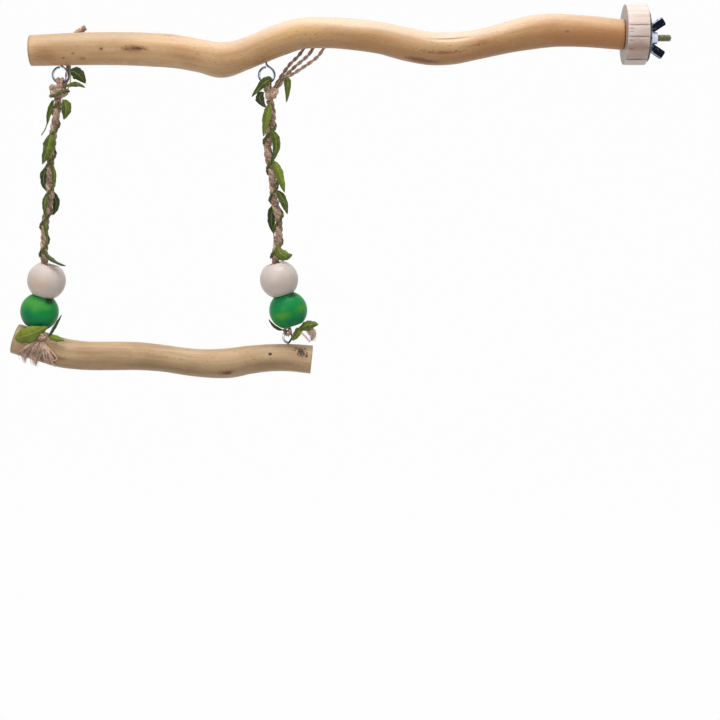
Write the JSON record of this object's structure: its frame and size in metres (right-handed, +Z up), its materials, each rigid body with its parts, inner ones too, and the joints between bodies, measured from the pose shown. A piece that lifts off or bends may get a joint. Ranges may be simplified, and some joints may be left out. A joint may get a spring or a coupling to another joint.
{
  "type": "wooden parrot perch with hanging swing",
  "caption": "Crooked wooden branch perch held to a cage wall by a hanger bolt, disc, washer and wing nut, with a leafy corded swing and wooden beads hung from screw eyes below it.",
  "frame": {"origin": "on the hanger bolt's axis, where it leaves the clamp disc's outer face, which bears on the inside of the cage wall", "axes": "+X outwards along the bolt, away from the cage's inside; +Z up; +Y away from the viewer, so that -Y is the side seen in the picture"},
  "size_m": [0.3676, 0.033, 0.208],
  "materials": {
    "branch_wood": "peeled branch, sanded, unfinished, fine long grain",
    "bar_wood": "peeled branch, sanded, greyer, with knots and stains",
    "disc_wood": "turned pale softwood, sawn faces, fine checks",
    "pale_bead_wood": "turned, unfinished, matt",
    "green_bead_wood": "turned and dyed green, patchy, half matt",
    "bright_zinc": "bright zinc-plated wire",
    "dark_zinc": "blue-black zinc plate",
    "yellow_zinc": "yellow-passivated zinc, threaded",
    "jute": "twisted jute, slightly hairy",
    "vine": "green twisted string",
    "leaf_fabric": "pressed green fabric leaf with a paler midrib"
  },
  "bodies": {
    "perch": {"perch_branch": "branch_wood", "hanger_bolt": "yellow_zinc", "clamp_disc": "disc_wood", "branch_eye_left": "bright_zinc", "branch_eye_right": "bright_zinc"},
    "clamp_washer": {"steel_washer": "dark_zinc"},
    "clamp_nut": {"wing_nut": "dark_zinc"},
    "left_hitch": {"left_top_hitch": "jute", "left_top_tail": "jute", "left_leaf_1": "leaf_fabric", "left_leaf_2": "leaf_fabric"},
    "left_hanger": {"left_cord": "jute", "left_leaf_string": "vine", "left_foot_loop": "jute", "left_leaf_3": "leaf_fabric", "left_leaf_4": "leaf_fabric", "left_leaf_5": "leaf_fabric", "left_leaf_6": "leaf_fabric", "left_leaf_7": "leaf_fabric", "left_leaf_8": "leaf_fabric", "left_leaf_9": "leaf_fabric", "left_leaf_10": "leaf_fabric", "left_leaf_11": "leaf_fabric"},
    "bar": {"swing_bar": "bar_wood", "bar_eye_left": "bright_zinc", "bar_eye_right": "bright_zinc", "left_foot_knot": "jute", "left_foot_fringe": "jute", "left_leaf_12": "leaf_fabric", "left_leaf_13": "leaf_fabric", "left_leaf_14": "leaf_fabric"},
    "right_hitch": {"right_top_hitch": "jute", "right_leaf_1": "leaf_fabric", "right_leaf_2": "leaf_fabric", "right_leaf_3": "leaf_fabric", "right_top_tail_1": "jute", "right_top_tail_2": "jute", "right_top_tail_3": "jute"},
    "right_hanger": {"right_cord": "jute", "right_leaf_string": "vine", "right_foot_hitch": "jute", "right_foot_tail": "jute", "right_leaf_4": "leaf_fabric", "right_leaf_5": "leaf_fabric", "right_leaf_6": "leaf_fabric", "right_leaf_7": "leaf_fabric", "right_leaf_8": "leaf_fabric", "right_leaf_9": "leaf_fabric", "right_leaf_10": "leaf_fabric", "right_leaf_11": "leaf_fabric", "right_leaf_12": "leaf_fabric"},
    "left_bead_white": {"left_white_bead": "pale_bead_wood"},
    "left_bead_green": {"left_green_bead": "green_bead_wood"},
    "right_bead_white": {"right_white_bead": "pale_bead_wood"},
    "right_bead_green": {"right_green_bead": "green_bead_wood"}
  },
  "joints": [
    {"name": "swing", "type": "hinge", "parent": "perch", "child": "left_hitch", "pos_m": [-0.3226, 0, -0.02416], "axis": [1, 0, 0], "range_deg": [-60, 60], "deforming": ["left_top_tail"]},
    {"name": "right_swing", "type": "hinge", "parent": "perch", "child": "right_hitch", "pos_m": [-0.2082, 0, -0.02416], "axis": [1, 0, 0], "range_deg": [-60, 60], "deforming": ["right_top_tail_1", "right_top_tail_2", "right_top_tail_3"]},
    {"name": "left_sway", "type": "hinge", "parent": "left_hitch", "child": "left_hanger", "pos_m": [-0.3239, 0, -0.03326], "axis": [0, 1, 0], "range_deg": [-8, 8]},
    {"name": "bar_level", "type": "hinge", "parent": "left_hanger", "child": "bar", "pos_m": [-0.33845, 0, -0.15423], "axis": [0, 1, 0], "range_deg": [-7, 7]},
    {"name": "right_sway", "type": "hinge", "parent": "right_hitch", "child": "right_hanger", "pos_m": [-0.2068, 0, -0.03406], "axis": [0, 1, 0], "range_deg": [-8, 8]},
    {"name": "left_white_bead_spin", "type": "hinge", "parent": "left_hanger", "child": "left_bead_white", "pos_m": [-0.33341, 0, -0.134], "axis": [0.2419, 0, 0.9703], "continuous": true},
    {"name": "left_green_bead_spin", "type": "hinge", "parent": "left_hanger", "child": "left_bead_green", "pos_m": [-0.33778, 0, -0.15156], "axis": [0.2419, 0, 0.9703], "continuous": true},
    {"name": "right_white_bead_spin", "type": "hinge", "parent": "right_hanger", "child": "right_bead_white", "pos_m": [-0.20254, 0, -0.13327], "axis": [-0.2756, 0, 0.9613], "continuous": true},
    {"name": "right_green_bead_spin", "type": "hinge", "parent": "right_hanger", "child": "right_bead_green", "pos_m": [-0.19755, 0, -0.15066], "axis": [-0.2756, 0, 0.9613], "continuous": true},
    {"name": "washer_travel", "type": "slide", "parent": "perch", "child": "clamp_washer", "axis": [1, 0, 0], "range_m": [0, 0.0056]},
    {"name": "nut_spin", "type": "hinge", "parent": "clamp_washer", "child": "clamp_nut", "pos_m": [0, 0, 0], "axis": [1, 0, 0], "range_deg": [0, 2880.5]}
  ],
  "couplings": [
    {"joint": "right_swing", "follows": "swing", "ratio": 1},
    {"joint": "bar_level", "follows": "left_sway", "ratio": -0.83675},
    {"joint": "right_sway", "follows": "left_sway", "ratio": 0.95223},
    {"joint": "nut_spin", "follows": "washer_travel", "rad_per_m": 8976}
  ]
}
